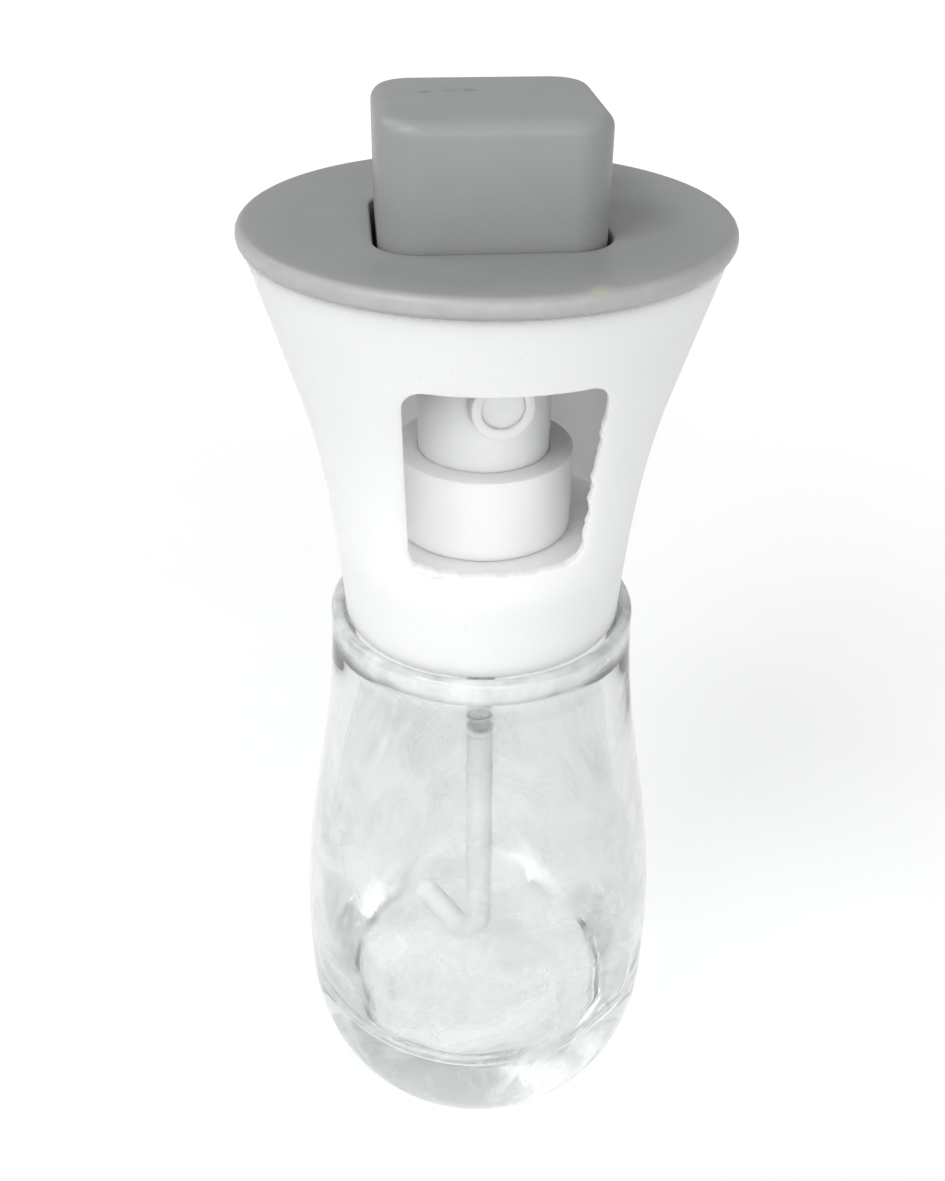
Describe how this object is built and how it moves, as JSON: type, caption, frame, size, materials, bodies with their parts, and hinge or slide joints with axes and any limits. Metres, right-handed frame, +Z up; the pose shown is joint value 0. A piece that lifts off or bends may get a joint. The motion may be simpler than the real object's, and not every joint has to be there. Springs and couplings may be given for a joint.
{
  "type": "oil dispenser bottle",
  "caption": "Clear glass bottle with a plug-in finger-pump head: a white trumpet housing with a front window, a grey cover disc and a rounded-square push button.",
  "frame": {"origin": "middle of the base, on the surface that the bottle stands on", "axes": "+Z up along the bottle's axis, -Y out through the housing's window, +X to the right seen from the window"},
  "size_m": [0.072, 0.072, 0.1874],
  "materials": {
    "clear_glass": "polished clear glass",
    "silicone": "soft, milky",
    "clear_plastic": "clear moulded plastic",
    "white_plastic": "satin white moulded plastic",
    "grey_plastic": "fine matte grey moulded plastic",
    "milky_plastic": "milky translucent plastic",
    "steel": "drawn bright steel"
  },
  "bodies": {
    "bottle": {"glass_bottle": "clear_glass"},
    "head": {"mouth_gasket": "silicone", "neck_adapter": "clear_plastic", "housing": "white_plastic", "top_cover": "grey_plastic", "pump_collar": "white_plastic", "pump_gasket": "silicone", "pump_body": "milky_plastic", "stem_retainer": "white_plastic", "inlet_ball": "steel", "return_spring": "steel", "dip_tube": "milky_plastic"},
    "plunger": {"push_button": "grey_plastic", "actuator": "white_plastic", "nozzle_insert": "white_plastic", "pump_stem": "white_plastic", "outlet_ball": "steel", "piston": "milky_plastic"}
  },
  "joints": [
    {"name": "head_lift", "type": "slide", "parent": "bottle", "child": "head", "axis": [0, 0, 1], "range_m": [0, 0.09]},
    {"name": "button_press", "type": "slide", "parent": "head", "child": "plunger", "axis": [0, 0, -1], "range_m": [0, 0.005], "stiffness_N_per_m": 1500, "springref_m": -0.004, "deforming": ["return_spring"]}
  ]
}
